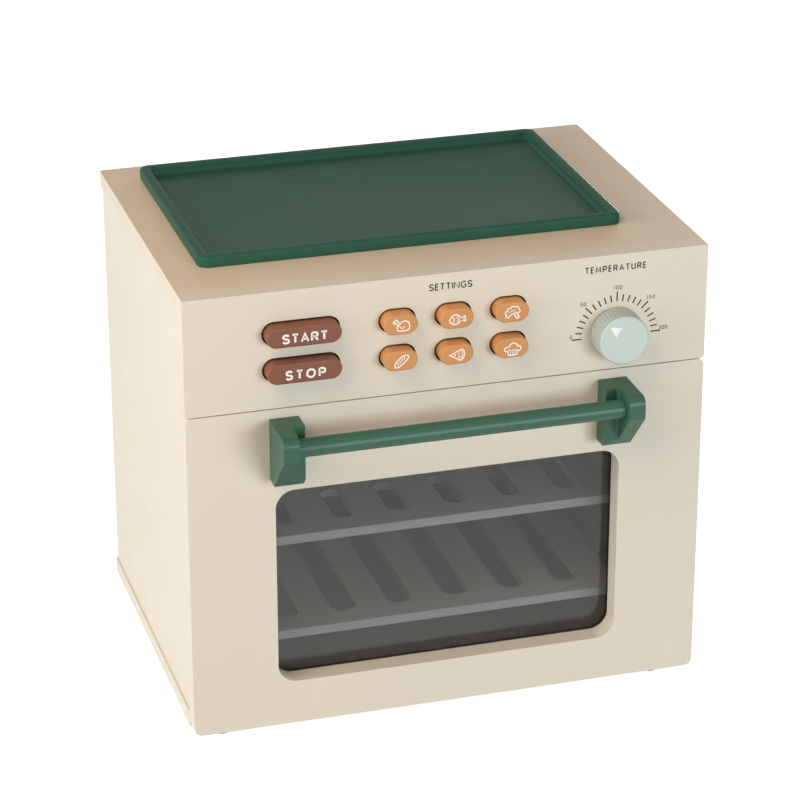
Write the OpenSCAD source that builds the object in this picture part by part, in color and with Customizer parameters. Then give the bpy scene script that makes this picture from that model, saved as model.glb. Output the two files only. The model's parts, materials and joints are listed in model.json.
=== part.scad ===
// Toy oven for a play kitchen: a painted board cabinet with a drop-down glazed door, two rows
// of push buttons, a temperature knob and a loose baking tray on its top.
// Millimetres. X runs to the right, Y to the back and Z up. The origin is the middle of the
// footprint, handle included, on the surface that the rubber feet stand on.

/* [Cabinet] */
// Width of the cabinet over its top, base and door
body_w = 340; // [320:1:420]
// Height of the cabinet from the underside of the base to the top
body_h = 300; // [280:1:380]
// Depth of the cabinet from the front face to the back edge of the top
body_d = 248; // [200:1:320]
// Thickness of the top, base, side and ceiling boards
carcass_t = 10; // [9:0.5:14]
// Thickness of the control panel, and of the door with its closing gap
front_t = 14; // [12:0.5:18]
// Thickness of the back panel
back_t = 5; // [4:0.5:7]
// How far the sides stand in from the edges of the top and the base
side_inset = 1.3; // [0.5:0.1:3]
// How far the back panel stands in from the back edge of the top
back_recess = 1.5; // [0.5:0.1:4]
// Height of the rubber feet
foot_h = 10; // [9:0.5:20]
// Diameter of the rubber feet
foot_d = 14.5; // [13:0.5:20]
// Distance from the cabinet's side and back edges to the middle of a foot
foot_inset = 22; // [18:0.5:26]
// Distance from the front edge of the base to the front feet
foot_setback = 0.8; // [0.5:0.1:10]

/* [Shelves] */
// Height of the lower shelf's top above the underside of the base
lower_shelf_h = 54; // [40:0.5:80]
// Height of the upper shelf's top above the underside of the base
upper_shelf_h = 121.5; // [100:0.5:150]
// Thickness of the shelves
shelf_t = 6; // [4:0.5:9]
// Distance from the front face to the shelves' front edge
shelf_setback = 26; // [24:0.5:50]
// Distance between the middles of two slots
slot_pitch = 38.6; // [24:0.2:60]
// Width of a slot
slot_w = 17; // [8:0.5:20]
// Plain border in front of and behind the slots
slot_border = 17; // [10:0.5:30]

/* [Door] */
// Gap between the door and the control panel
seam_gap = 0.6; // [0.4:0.1:1.5]
// Gap between the closed door and the cabinet
door_gap = 0.4; // [0.3:0.1:1]
// Width of the door beside the window
stile_w = 56; // [40:0.5:70]
// Height of the door under the window
bottom_rail_h = 30.2; // [28:0.2:50]
// Height of the door over the window
top_rail_h = 56.2; // [54:0.2:70]
// Corner radius of the window
window_r = 12.5; // [6:0.5:25]
// Thickness of the window pane
pane_t = 2.5; // [2:0.1:4]
// How far the pane reaches past the window on each side
pane_lap = 9; // [8:0.5:14]
// Radius of the hinge knuckles, and of the door's lower back edge
knuckle_r = 3; // [2.6:0.1:3.4]
// Diameter of the hinge pins
hinge_pin_d = 2.5; // [2:0.1:3]
// Length of a hinge
hinge_len = 30; // [24:1:40]
// Distance from the cabinet's edge to the middle of a hinge
hinge_inset = 60; // [50:1:80]

/* [Handle] */
// How far the handle stands out from the door
handle_reach = 36; // [30:0.5:42]
// Height of a handle bracket
bracket_h = 41.4; // [38:0.2:48]
// Width of a handle bracket where it meets the door
bracket_w = 19; // [17:0.5:24]
// Width of the arm that carries the bar
arm_w = 10.5; // [9:0.5:12]
// Thickness of the bracket's foot
bracket_foot_t = 15.4; // [12:0.2:18]
// Distance from the door's edge to the outside of a bracket
bracket_inset = 52.8; // [40:0.2:70]
// Distance from the door's top edge to the top of a bracket
bracket_drop = 6; // [4:0.5:10]
// Diameter of the handle bar
bar_d = 12; // [10:0.5:13]
// Distance from the door to the middle of the bar
bar_out = 25; // [24:0.5:28]
// Distance from the top of a bracket to the middle of the bar
bar_drop = 10.4; // [8:0.2:14]

/* [Controls] */
// Height of the control panel
control_h = 77.2; // [74:0.2:100]
// Height of every push button
button_h = 13.4; // [11:0.2:16]
// Width of the start and stop buttons
long_button_w = 47.6; // [40:0.2:54]
// Width of the food buttons
food_button_w = 21.8; // [18:0.2:26]
// Clearance between a button and its hole
button_gap = 1.1; // [0.4:0.1:1.4]
// How far a button stands out of the panel
button_out = 9; // [7:0.5:12]
// How far a button can be pressed
button_travel = 4; // [2:0.5:4.5]
// Distance from the top of the panel to the upper row of buttons
row_drop = 27.4; // [24:0.2:28]
// Distance between the two rows of buttons
row_pitch = 24; // [22:0.5:25]
// Distance from the left edge to the middle of the start button
start_inset = 74; // [68:0.5:80]
// Place of the middle column of food buttons
food_x = 1.4; // [-4:0.2:10]
// Distance between two columns of food buttons
food_pitch = 36.1; // [32:0.1:40]
// Diameter of the temperature knob at the panel
knob_d = 34; // [28:0.5:40]
// Diameter of the temperature knob's front face
knob_face_d = 32.4; // [26:0.2:38]
// How far the knob stands out of the panel
knob_out = 16; // [12:0.5:22]
// Distance from the right edge to the middle of the knob
knob_inset = 60.7; // [56:0.1:66]
// Distance from the top of the panel to the middle of the knob
knob_drop = 52.1; // [40:0.1:56]
// Diameter of the knob's spindle
spindle_d = 6; // [5:0.5:8]

/* [Baking tray] */
// Width of the tray
tray_w = 278; // [200:1:300]
// Depth of the tray
tray_d = 180; // [120:1:182]
// Height of the tray
tray_h = 7.4; // [6.6:0.2:14]
// Outer corner radius of the tray
tray_r = 7; // [6:0.5:16]
// Thickness of the tray's floor
tray_floor_t = 2.2; // [1.5:0.1:2.5]
// Thickness of the tray's wall, seen as its rim from above
tray_rim = 7; // [6:0.2:9]
// Place of the tray's middle, left of the cabinet's
tray_shift = 8.4; // [0:0.2:16]
// Distance from the front face to the tray's front edge
tray_setback = 49.8; // [40:0.2:55]

/* [Hidden] */
$fn = 48;

// Paint and material colours
cream = [0.87, 0.83, 0.74];
green = [0.22, 0.45, 0.37];
brown = [0.47, 0.27, 0.22];
tan = [0.87, 0.62, 0.38];
pale_green = [0.75, 0.83, 0.80];
smoke = [0.25, 0.25, 0.25, 0.6];
steel = [0.70, 0.71, 0.73];
wood = [0.80, 0.66, 0.46];
white_plastic = [0.90, 0.90, 0.88];
black_rubber = [0.12, 0.12, 0.12];

// Fits: a piece glued, screwed or pressed into its own body, and one that runs in another
seat_gap = 0.05;
press_gap = 0.02;
run_gap = 0.05;
stem_gap = 0.1;
// How far a cut runs past the surface that it opens
cut = 1;

// Places along Y
y_front = -(body_d - handle_reach) / 2;
y_carcass = y_front + front_t;
y_back = y_front + body_d;
y_side_back = y_back - back_recess;
y_back_panel = y_side_back - back_t;

// Places along Z
z_base = foot_h;
z_floor = z_base + carcass_t;
z_top = z_base + body_h;
z_under_top = z_top - carcass_t;
door_h = body_h - control_h - seam_gap;
z_door_top = z_base + door_h;
z_panel = z_door_top + seam_gap;
ceiling_lap = 2;
z_ceiling = z_panel + ceiling_lap - carcass_t;

// Places along X
side_out = body_w / 2 - side_inset;
side_in = side_out - carcass_t;
side_mid = (side_out + side_in) / 2;

// Cabinet joints and fixings
board_r = 2;
rebate_w = 6;
groove_depth = 3;
groove_gap = 0.1;
fixing_edge = 32;
fixing_ys = [y_front + fixing_edge, (y_front + y_back) / 2, y_back - fixing_edge];
dowel_d = 6;
dowel_in_side = 15;
dowel_in_top = carcass_t - 3;
dowel_in_panel = front_t - 5;
dowel_end_gap = 0.3;
panel_dowel_zs = [z_panel + 20, z_top - 30];
base_screw_len = 32;
back_screw_len = 18;
back_screw_x = side_in + rebate_w / 2;
back_screw_zs = [z_floor + 20, (z_floor + z_under_top) / 2, z_under_top - 20];
foot_recess_d = 7;
foot_recess_h = foot_h / 2;
foot_screw_len = foot_h - foot_recess_h + carcass_t - 2;

// Shelves
shelf_y0 = y_front + shelf_setback;
shelf_y1 = y_back_panel - 0.5;
shelf_half_w = side_in + groove_depth - groove_gap;
slot_count = floor(2 * side_in / slot_pitch);

// Door
door_t = front_t - door_gap;
y_door_back = y_front + door_t;
window_w = body_w - 2 * stile_w;
window_h = door_h - bottom_rail_h - top_rail_h;
z_window = z_base + bottom_rail_h;
z_window_mid = z_window + window_h / 2;
door_top_r = 4;
door_bottom_r = 5;
gasket_t = 1;
gasket_show = 0.7;
gasket_w = 2.4;
pane_screw_out = 4.8;
pane_screw_len = gasket_t + pane_t + 8;

// Hinges: the pin's axis stands one knuckle radius in from the door's lower back edge
pin_y = y_door_back - knuckle_r;
pin_z = z_base + knuckle_r;
leaf_t = 1;
leaf_gap = 0.2;
base_leaf_d = 20;
door_leaf_h = 18;
knuckle_gap = 0.4;
mid_knuckle = hinge_len * 0.46;
hinge_x = body_w / 2 - hinge_inset;
hinge_screw_x = hinge_len * 0.3;
hinge_screw_len = carcass_t - 1.5;
base_leaf_screw_y = y_carcass + base_leaf_d * 0.6;
door_leaf_screw_z = pin_z + door_leaf_h * 0.66;

// Handle
bracket_out_x = body_w / 2 - bracket_inset;
arm_in_x = bracket_out_x - arm_w;
z_bracket = z_door_top - bracket_drop;
bracket_front_h = 14.4;
bracket_toe = 11;
bracket_nose_r = 5.5;
bracket_fillet_r = 2;
bar_socket = 7;
z_bar = z_bracket - bar_drop;
handle_screw_x = bracket_out_x - arm_w / 2;
handle_screw_zs = [z_bracket - 9, z_bracket - bracket_h + 9];
handle_screw_len = door_t + 9;

// Magnetic catch under the ceiling board
catch_w = 44;
catch_h = 12;
catch_d = 16;
catch_air = 1.4;
y_catch = y_door_back + catch_air;
magnet_w = 24;
magnet_h = 5;
magnet_d = 10;
pole_t = 1.2;
pole_proud = 0.3;
catch_screw_x = catch_w / 2 - 5;
strike_t = 1;
strike_w = 34;
strike_h = 12;
strike_screw_x = strike_w / 2 - 4;
z_catch_mid = z_ceiling - catch_h / 2;

// Buttons: each has a rim behind the panel that stops it, stems, and a spring on each stem
rim_lip = 2.6;
rim_t = 2;
rim_gap = 0.05;
cap_round = 1.3;
stem_d = 4;
housing_depth = 14;
housing_floor_t = 2.5;
housing_wall = 2;
housing_gap = 1.2;
stem_reach = housing_depth + 1.5;
long_stem_x = long_button_w * 0.28;
row_z = [z_top - row_drop, z_top - row_drop - row_pitch];
start_x = -body_w / 2 + start_inset;
food_cols = [for (i = [-1:1]) food_x + i * food_pitch];
spring_wire = 0.8;
spring_mean_r = 3.3;
spring_turns = 4.5;
spring_clear = 0.03;
spring_len = housing_depth - rim_t - rim_gap;
housing_x0 = start_x - long_button_w / 2 - rim_lip - housing_gap - housing_wall;
housing_x1 = food_x + food_pitch + food_button_w / 2 + rim_lip + housing_gap + housing_wall;
housing_z0 = row_z[1] - button_h / 2 - rim_lip - housing_gap - housing_wall;
housing_z1 = row_z[0] + button_h / 2 + rim_lip + housing_gap + housing_wall;
lug_r = 4;
lug_h = 5;
lug_x = [housing_x0 - lug_r + 1, housing_x1 + lug_r - 1];
lug_z = [housing_z0 + 8, housing_z1 - 8];
housing_screw_len = lug_h + 8;

// Knob
knob_x = body_w / 2 - knob_inset;
knob_z = z_top - knob_drop;
knob_gap = 0.5;
knob_chamfer = 0.8;
knob_grooves = 44;
knob_groove_r = 0.5;
knob_slope = atan((knob_d - knob_face_d) / 2 / (knob_out - knob_gap));
knob_socket = knob_out - 4;
bush_wall = 2;
bush_flange_w = 3;
bush_flange_t = 1.5;
bush_r = spindle_d / 2 + run_gap + bush_wall;
washer_t = 1.2;
washer_gap = 0.2;
spindle_tail = bush_flange_t + washer_gap;
spindle_screw_d = 3;
spindle_screw_len = 10;

// Baking tray
tray_foot_ease = 0.8;
tray_edge_r = 1.8;
tray_inner_r = 2.5;
tray_cove = 2.4;
tray_corner_steps = 8;

// A flat shape on the front: local X and Y are the cabinet's X and Z, and local Z points out
// towards the user. depth is how far behind the front face the local origin lies.
module on_front(x, z, depth = 0) {
    translate([x, y_front + depth, z]) rotate([90, 0, 0]) children();
}

module rounded_rect(w, h, r) {
    square([w - 2 * r, h], center = true);
    square([w, h - 2 * r], center = true);
    for (x = [-1, 1])
        for (y = [-1, 1])
            translate([x * (w / 2 - r), y * (h / 2 - r)]) circle(r = r);
}

module stadium(w, h) {
    square([w - h, h], center = true);
    for (x = [-1, 1])
        translate([x * (w - h) / 2, 0]) circle(d = h);
}

// A board lying flat, given by its low and high corners, with its upright corners rounded
module flat_board(low, high, r = board_r) {
    size = high - low;
    translate([(low[0] + high[0]) / 2, (low[1] + high[1]) / 2, low[2]])
        linear_extrude(size[2]) rounded_rect(size[0], size[1], r);
}

// A rounded rectangle whose two corners at one end, -1 or 1 along Y, are square
module half_rounded_rect(w, h, r, square_end) {
    rounded_rect(w, h, r);
    translate([0, square_end * (h / 2 - r)]) square([w, 2 * r], center = true);
}

module block(low, high) {
    translate(low) cube(high - low);
}

// Screws point down: the head's rim is at Z = 0 and the shank goes to -length
module countersunk_screw(d, length, head_d) {
    r = d / 2;
    head_r = head_d / 2;
    sink = head_r - r;
    difference() {
        rotate_extrude()
            polygon([[0, 0], [head_r, 0], [head_r, -0.2], [r, -sink - 0.2], [r, -length + r],
                [0, -length]]);
        cross_recess(head_d * 0.55);
    }
}

module cross_recess(w) {
    for (a = [0, 90])
        rotate([0, 0, a]) translate([-w / 2, -w / 10, -0.7]) cube([w, w / 5, 1 + cut]);
}

module countersunk_hole(d, length, head_d) {
    translate([0, 0, -length - 0.5]) cylinder(d = d + 2 * seat_gap, h = length + 0.5 + cut);
    sink = (head_d - d) / 2;
    translate([0, 0, -sink - 0.2])
        cylinder(r1 = d / 2 + seat_gap, r2 = head_d / 2 + seat_gap, h = sink);
    translate([0, 0, -0.2]) cylinder(d = head_d + 2 * seat_gap, h = 0.2 + cut);
}

// A pan-head screw's head stands above Z = 0
module pan_screw(d, length, head_d, head_h) {
    r = d / 2;
    head_r = head_d / 2;
    difference() {
        rotate_extrude()
            polygon([[0, head_h], [head_r * 0.62, head_h], [head_r * 0.9, head_h * 0.7],
                [head_r, head_h * 0.35], [head_r, 0], [r, 0], [r, -length + r], [0, -length]]);
        translate([0, 0, head_h]) cross_recess(head_d * 0.6);
    }
}

module screw_hole(d, length) {
    translate([0, 0, -length - 0.5]) cylinder(d = d + 2 * seat_gap, h = length + 0.5 + cut);
}

// Where the cabinet's dowels stand, each with its axis along local Z and its middle plane,
// where two boards meet, at local Z = 0. Positive local Z is the side's own half.
module at_top_dowels(side) {
    for (y = fixing_ys)
        translate([side * side_mid, y, z_under_top]) rotate([180, 0, 0]) children();
}

module at_ceiling_dowels(side) {
    for (y = fixing_ys)
        translate([side * side_in, y, z_ceiling + carcass_t / 2]) rotate([0, side * 90, 0])
            children();
}

module at_panel_dowels(side) {
    for (z = panel_dowel_zs)
        translate([side * side_mid, y_carcass, z]) rotate([-90, 0, 0]) children();
}

module dowel(before, after) {
    translate([0, 0, -before]) cylinder(d = dowel_d, h = before + after);
}

module dowel_hole(before, after) {
    translate([0, 0, -before - dowel_end_gap])
        cylinder(d = dowel_d + 2 * seat_gap, h = before + after + 2 * dowel_end_gap);
}

module at_base_screws(side) {
    for (y = fixing_ys)
        translate([side * side_mid, y, z_base]) rotate([180, 0, 0]) children();
}

module at_back_screws(side) {
    for (z = back_screw_zs)
        translate([side * back_screw_x, y_side_back, z]) rotate([-90, 0, 0]) children();
}

module at_feet() {
    for (x = [-1, 1])
        for (y = [y_carcass + foot_setback + foot_d / 2, y_back - foot_inset])
            translate([x * (body_w / 2 - foot_inset), y, 0]) children();
}

module at_base_leaf_screws(side) {
    for (x = [-1, 1])
        translate([side * hinge_x + x * hinge_screw_x, base_leaf_screw_y, z_base])
            rotate([180, 0, 0]) children();
}

module at_door_leaf_screws(side) {
    for (x = [-1, 1])
        translate([side * hinge_x + x * hinge_screw_x, y_door_back, door_leaf_screw_z])
            rotate([-90, 0, 0]) children();
}

// ---- Cabinet boards ----

module base_panel() {
    color(cream) difference() {
        flat_board([-body_w / 2, y_carcass, z_base], [body_w / 2, y_back, z_floor]);
        for (side = [-1, 1]) {
            at_base_screws(side) countersunk_hole(3.5, base_screw_len, 7);
            at_base_leaf_screws(side) screw_hole(2.4, hinge_screw_len);
            // Recess for the hinge's leaf
            block([side * hinge_x - hinge_len / 2 - leaf_gap, y_carcass - cut, z_base - cut],
                [side * hinge_x + hinge_len / 2 + leaf_gap, y_carcass + base_leaf_d + leaf_gap,
                    z_base + leaf_t]);
        }
        at_feet() translate([0, 0, z_base]) rotate([180, 0, 0])
            screw_hole(3.2, carcass_t - 2);
    }
}

// side is -1 on the left and 1 on the right
module side_panel(side) {
    color(cream) difference() {
        block([side > 0 ? side_in : -side_out, y_carcass, z_floor],
            [side > 0 ? side_out : -side_in, y_side_back, z_under_top]);
        // Rebate for the back panel
        block([side > 0 ? side_in - cut : -side_in - rebate_w, y_back_panel, z_floor - cut],
            [side > 0 ? side_in + rebate_w : -side_in + cut, y_side_back + cut,
                z_under_top + cut]);
        // Grooves that hold the shelves' ends
        for (h = [lower_shelf_h, upper_shelf_h])
            block([side > 0 ? side_in - cut : -side_in - groove_depth, shelf_y0,
                    z_base + h - shelf_t],
                [side > 0 ? side_in + groove_depth : -side_in + cut, y_back_panel + cut,
                    z_base + h + groove_gap]);
        at_base_screws(side) screw_hole(3.5, base_screw_len);
        at_top_dowels(side) dowel_hole(0, dowel_in_side);
        at_ceiling_dowels(side) dowel_hole(0, carcass_t - 3);
        at_panel_dowels(side) dowel_hole(0, dowel_in_side);
        at_back_screws(side) screw_hole(2.6, back_screw_len);
    }
}

module left_side_panel() {
    side_panel(-1);
}

module right_side_panel() {
    side_panel(1);
}

module top_panel() {
    color(cream) difference() {
        translate([0, (y_carcass + y_back) / 2, z_under_top]) linear_extrude(z_top - z_under_top)
            half_rounded_rect(body_w, y_back - y_carcass, board_r, -1);
        for (side = [-1, 1])
            at_top_dowels(side) dowel_hole(dowel_in_top, 0);
    }
}

module back_panel() {
    edge_gap = 0.3;
    color(cream) difference() {
        block([-side_in - rebate_w + edge_gap, y_back_panel, z_floor + edge_gap],
            [side_in + rebate_w - edge_gap, y_side_back, z_under_top - edge_gap]);
        for (side = [-1, 1])
            at_back_screws(side) countersunk_hole(2.6, back_screw_len, 4.8);
    }
}

module control_panel() {
    panel_h = z_top - z_panel;
    color(cream) difference() {
        on_front(0, z_panel + panel_h / 2, front_t) linear_extrude(front_t)
            half_rounded_rect(body_w, panel_h, board_r, 1);
        for (z = row_z)
            on_front(start_x, z, front_t + cut) linear_extrude(front_t + 2 * cut)
                stadium(long_button_w + 2 * button_gap, button_h + 2 * button_gap);
        for (z = row_z)
            for (x = food_cols)
                on_front(x, z, front_t + cut) linear_extrude(front_t + 2 * cut)
                    stadium(food_button_w + 2 * button_gap, button_h + 2 * button_gap);
        on_front(knob_x, knob_z, front_t + cut) cylinder(r = bush_r + seat_gap,
            h = front_t + 2 * cut);
        at_housing_screws() translate([0, 0, -lug_h]) screw_hole(2.6, housing_screw_len - lug_h);
        for (side = [-1, 1])
            at_panel_dowels(side) dowel_hole(dowel_in_panel, 0);
    }
}

module cavity_ceiling() {
    color(cream) difference() {
        block([-side_in, y_carcass, z_ceiling], [side_in, shelf_y1, z_ceiling + carcass_t]);
        for (side = [-1, 1])
            at_ceiling_dowels(side) dowel_hole(dowel_in_side, 0);
        at_catch_screws() translate([0, 0, -catch_h]) screw_hole(2.6, 8);
    }
}

// A shelf with a row of long round-ended slots that run from front to back. z is its top.
module shelf(z) {
    slot_len = shelf_y1 - shelf_y0 - 2 * slot_border;
    color(cream) difference() {
        block([-shelf_half_w, shelf_y0 + groove_gap, z - shelf_t], [shelf_half_w, shelf_y1, z]);
        for (i = [0:slot_count - 1])
            translate([(i - (slot_count - 1) / 2) * slot_pitch, (shelf_y0 + shelf_y1) / 2,
                    z - shelf_t - cut])
                linear_extrude(shelf_t + 2 * cut) rotate([0, 0, 90]) stadium(slot_len, slot_w);
    }
}

module upper_shelf() {
    shelf(z_base + upper_shelf_h);
}

module lower_shelf() {
    shelf(z_base + lower_shelf_h);
}

// ---- Cabinet fixings and feet ----

module carcass_dowels() {
    color(wood)
        for (side = [-1, 1]) {
            at_top_dowels(side) dowel(dowel_in_top, dowel_in_side);
            at_ceiling_dowels(side) dowel(dowel_in_side, carcass_t - 3);
            at_panel_dowels(side) dowel(dowel_in_panel, dowel_in_side);
        }
}

module base_screws() {
    color(steel)
        for (side = [-1, 1])
            at_base_screws(side) countersunk_screw(3.5, base_screw_len, 7);
}

module back_panel_screws() {
    color(steel)
        for (side = [-1, 1])
            at_back_screws(side) countersunk_screw(2.6, back_screw_len, 4.8);
}

module rubber_feet() {
    r = foot_d / 2;
    color(black_rubber) at_feet() difference() {
        rotate_extrude()
            polygon(concat([[0, 0]],
                [for (a = [-90:15:0]) [r - 1.7 + 1.2 * cos(a), 1.2 + 1.2 * sin(a)]],
                [[r, foot_h], [0, foot_h]]));
        translate([0, 0, -cut]) cylinder(d = foot_recess_d, h = foot_recess_h + cut);
        translate([0, 0, -cut]) cylinder(d = 3.2 + 2 * seat_gap, h = foot_h + 2 * cut);
    }
}

module foot_screws() {
    color(steel) at_feet() translate([0, 0, foot_recess_h]) rotate([180, 0, 0])
        pan_screw(3.2, foot_screw_len, 6, 2.2);
}

// ---- Button housing ----

// Local Z points to the back, out of the screws' heads
module at_housing_screws() {
    for (x = lug_x)
        for (z = lug_z)
            translate([x, y_carcass + lug_h, z]) rotate([-90, 0, 0]) children();
}

module housing_slab(depth, inset) {
    w = housing_x1 - housing_x0 - 2 * inset;
    h = housing_z1 - housing_z0 - 2 * inset;
    on_front((housing_x0 + housing_x1) / 2, (housing_z0 + housing_z1) / 2, front_t + depth)
        linear_extrude(depth) rounded_rect(w, h, 3);
}

// A moulded tray screwed to the back of the control panel. Its floor guides the buttons' stems
// and carries their springs.
module button_housing() {
    full_depth = housing_depth + housing_floor_t;
    color(white_plastic) difference() {
        union() {
            difference() {
                housing_slab(full_depth, 0);
                translate([0, -cut, 0]) housing_slab(housing_depth + cut, housing_wall);
            }
            for (x = lug_x)
                for (z = lug_z)
                    on_front(x, z, front_t + lug_h) cylinder(r = lug_r, h = lug_h);
        }
        // Keeps the inside clear of the round lugs
        translate([0, -cut, 0]) housing_slab(housing_depth + cut, housing_wall);
        at_housing_screws() screw_hole(2.6, housing_screw_len);
        at_stems() translate([0, 0, -full_depth - cut])
            cylinder(d = stem_d + 2 * stem_gap, h = housing_floor_t + 2 * cut);
    }
}

module housing_screws() {
    color(steel) at_housing_screws() pan_screw(2.6, housing_screw_len, 5, 1.8);
}

// Every stem, on its axis, from the back of the control panel
module at_stems() {
    for (z = row_z) {
        for (x = [-1, 1])
            on_front(start_x + x * long_stem_x, z, front_t) children();
        for (x = food_cols)
            on_front(x, z, front_t) children();
    }
}

// A coil along Z from 0 to length: a ring of points carried round a helix
module coil_spring(length) {
    sides = 6;
    steps_per_turn = 12;
    steps = spring_turns * steps_per_turn;
    wire_r = spring_wire / 2;
    rise = length - 2 * wire_r - 2 * spring_clear;
    points = [for (i = [0:steps])
        for (k = [0:sides - 1])
            let (turn = 360 * i / steps_per_turn, a = 360 * k / sides,
                r = spring_mean_r + wire_r * cos(a))
            [r * cos(turn), r * sin(turn), wire_r + spring_clear + rise * i / steps + wire_r * sin(a)]];
    start_cap = [for (k = [sides - 1:-1:0]) k];
    end_cap = [for (k = [0:sides - 1]) steps * sides + k];
    walls = [for (i = [0:steps - 1])
        for (k = [0:sides - 1])
            for (half = [0, 1])
                let (a = i * sides + k, b = i * sides + (k + 1) % sides)
                half == 0 ? [a, b + sides, a + sides] : [a, b, b + sides]];
    polyhedron(points, concat([start_cap], [end_cap], walls));
}

module spring_at(x, z) {
    color(steel) on_front(x, z, front_t + housing_depth) coil_spring(spring_len);
}

module start_springs() {
    for (x = [-1, 1])
        spring_at(start_x + x * long_stem_x, row_z[0]);
}

module stop_springs() {
    for (x = [-1, 1])
        spring_at(start_x + x * long_stem_x, row_z[1]);
}

module chicken_spring() {
    spring_at(food_cols[0], row_z[0]);
}

module fish_spring() {
    spring_at(food_cols[1], row_z[0]);
}

module broccoli_spring() {
    spring_at(food_cols[2], row_z[0]);
}

module bread_spring() {
    spring_at(food_cols[0], row_z[1]);
}

module pizza_spring() {
    spring_at(food_cols[1], row_z[1]);
}

module cupcake_spring() {
    spring_at(food_cols[2], row_z[1]);
}

// ---- Push buttons ----

// Half of a cap's section: its radius against its height above the panel's back
module cap_section(h) {
    r = h / 2;
    front = front_t + button_out;
    polygon(concat([[0, -rim_gap]], [[r, -rim_gap]],
        [for (a = [0:15:90]) [r - cap_round + cap_round * cos(a),
            front - cap_round + cap_round * sin(a)]],
        [[0, front]]));
}

module rounded_cap(w, h) {
    for (x = [-1, 1])
        translate([x * (w - h) / 2, 0, 0]) rotate_extrude() cap_section(h);
    for (a = [0, 180])
        rotate([0, 0, a]) translate([-(w - h) / 2, 0, 0]) rotate([90, 0, 90])
            linear_extrude(w - h) cap_section(h);
}

// A push button: its cap, the rim that stops it behind the panel, and its stems
module push_button(x, z, w, stems) {
    on_front(x, z, front_t) {
        rounded_cap(w, button_h);
        translate([0, 0, -rim_gap - rim_t]) linear_extrude(rim_t)
            stadium(w + 2 * rim_lip, button_h + 2 * rim_lip);
        for (s = stems)
            translate([s, 0, -stem_reach]) cylinder(d = stem_d, h = stem_reach - rim_gap);
    }
}

module start_button() {
    color(brown) push_button(start_x, row_z[0], long_button_w, [-long_stem_x, long_stem_x]);
}

module stop_button() {
    color(brown) push_button(start_x, row_z[1], long_button_w, [-long_stem_x, long_stem_x]);
}

module food_button(column, row) {
    color(tan) push_button(food_cols[column], row_z[row], food_button_w, [0]);
}

module chicken_button() {
    food_button(0, 0);
}

module fish_button() {
    food_button(1, 0);
}

module broccoli_button() {
    food_button(2, 0);
}

module bread_button() {
    food_button(0, 1);
}

module pizza_button() {
    food_button(1, 1);
}

module cupcake_button() {
    food_button(2, 1);
}

// ---- Temperature knob ----

// Lines the spindle's hole, with a flange against the back of the panel
module knob_bush() {
    color(white_plastic) on_front(knob_x, knob_z, front_t) difference() {
        union() {
            cylinder(r = bush_r, h = front_t);
            translate([0, 0, -bush_flange_t]) cylinder(r = bush_r + bush_flange_w,
                h = bush_flange_t);
        }
        translate([0, 0, -bush_flange_t - cut]) cylinder(r = spindle_d / 2 + run_gap,
            h = front_t + bush_flange_t + 2 * cut);
    }
}

module temperature_knob() {
    r = knob_d / 2;
    face_r = knob_face_d / 2;
    color(pale_green) on_front(knob_x, knob_z) difference() {
        rotate_extrude()
            polygon([[0, knob_gap], [r - knob_chamfer / 2, knob_gap], [r, knob_gap + knob_chamfer / 2],
                [face_r, knob_out - knob_chamfer], [face_r - knob_chamfer, knob_out],
                [0, knob_out]]);
        // Grooves that follow the slope of the side
        for (i = [0:knob_grooves - 1])
            rotate([0, 0, 360 * i / knob_grooves])
                translate([r + knob_groove_r * 0.3, 0, knob_gap]) rotate([0, -knob_slope, 0])
                    translate([0, 0, -cut]) cylinder(r = knob_groove_r, h = knob_out * 0.85);
        cylinder(r = spindle_d / 2 + seat_gap, h = knob_socket);
    }
}

module knob_spindle() {
    tail = front_t + spindle_tail;
    color(steel) on_front(knob_x, knob_z) translate([0, 0, -tail]) difference() {
        cylinder(d = spindle_d, h = tail + knob_socket - 0.3);
        translate([0, 0, -cut]) cylinder(d = spindle_screw_d + 2 * seat_gap,
            h = spindle_screw_len + 0.5 + cut);
    }
}

module spindle_washer() {
    color(steel) on_front(knob_x, knob_z, front_t + spindle_tail + washer_t) difference() {
        cylinder(r = bush_r + 1, h = washer_t);
        translate([0, 0, -cut]) cylinder(d = spindle_screw_d + 2 * seat_gap,
            h = washer_t + 2 * cut);
    }
}

module spindle_screw() {
    color(steel) translate([knob_x, y_carcass + spindle_tail + washer_t, knob_z])
        rotate([-90, 0, 0]) pan_screw(spindle_screw_d, spindle_screw_len, 6, 2);
}

// ---- Magnetic catch ----

module at_catch_screws() {
    for (x = [-1, 1])
        translate([x * catch_screw_x, y_catch + catch_d / 2, z_ceiling - catch_h])
            rotate([180, 0, 0]) children();
}

module magnet_catch_body() {
    pocket_h = magnet_h + 2 * pole_t;
    color(white_plastic) difference() {
        block([-catch_w / 2, y_catch, z_ceiling - catch_h],
            [catch_w / 2, y_catch + catch_d, z_ceiling]);
        block([-magnet_w / 2 - seat_gap, y_catch - cut, z_catch_mid - pocket_h / 2 - seat_gap],
            [magnet_w / 2 + seat_gap, y_catch + magnet_d, z_catch_mid + pocket_h / 2 + seat_gap]);
        at_catch_screws() countersunk_hole(2.6, catch_h + 8, 5);
    }
}

module catch_magnet() {
    color([0.25, 0.25, 0.27])
        block([-magnet_w / 2, y_catch + 0.5, z_catch_mid - magnet_h / 2],
            [magnet_w / 2, y_catch + magnet_d, z_catch_mid + magnet_h / 2]);
}

module catch_pole_plates() {
    color(steel)
        for (z = [z_catch_mid - magnet_h / 2 - pole_t, z_catch_mid + magnet_h / 2])
            block([-magnet_w / 2, y_catch - pole_proud, z],
                [magnet_w / 2, y_catch + magnet_d, z + pole_t]);
}

module catch_screws() {
    color(steel) at_catch_screws() countersunk_screw(2.6, catch_h + 7, 5);
}

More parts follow.
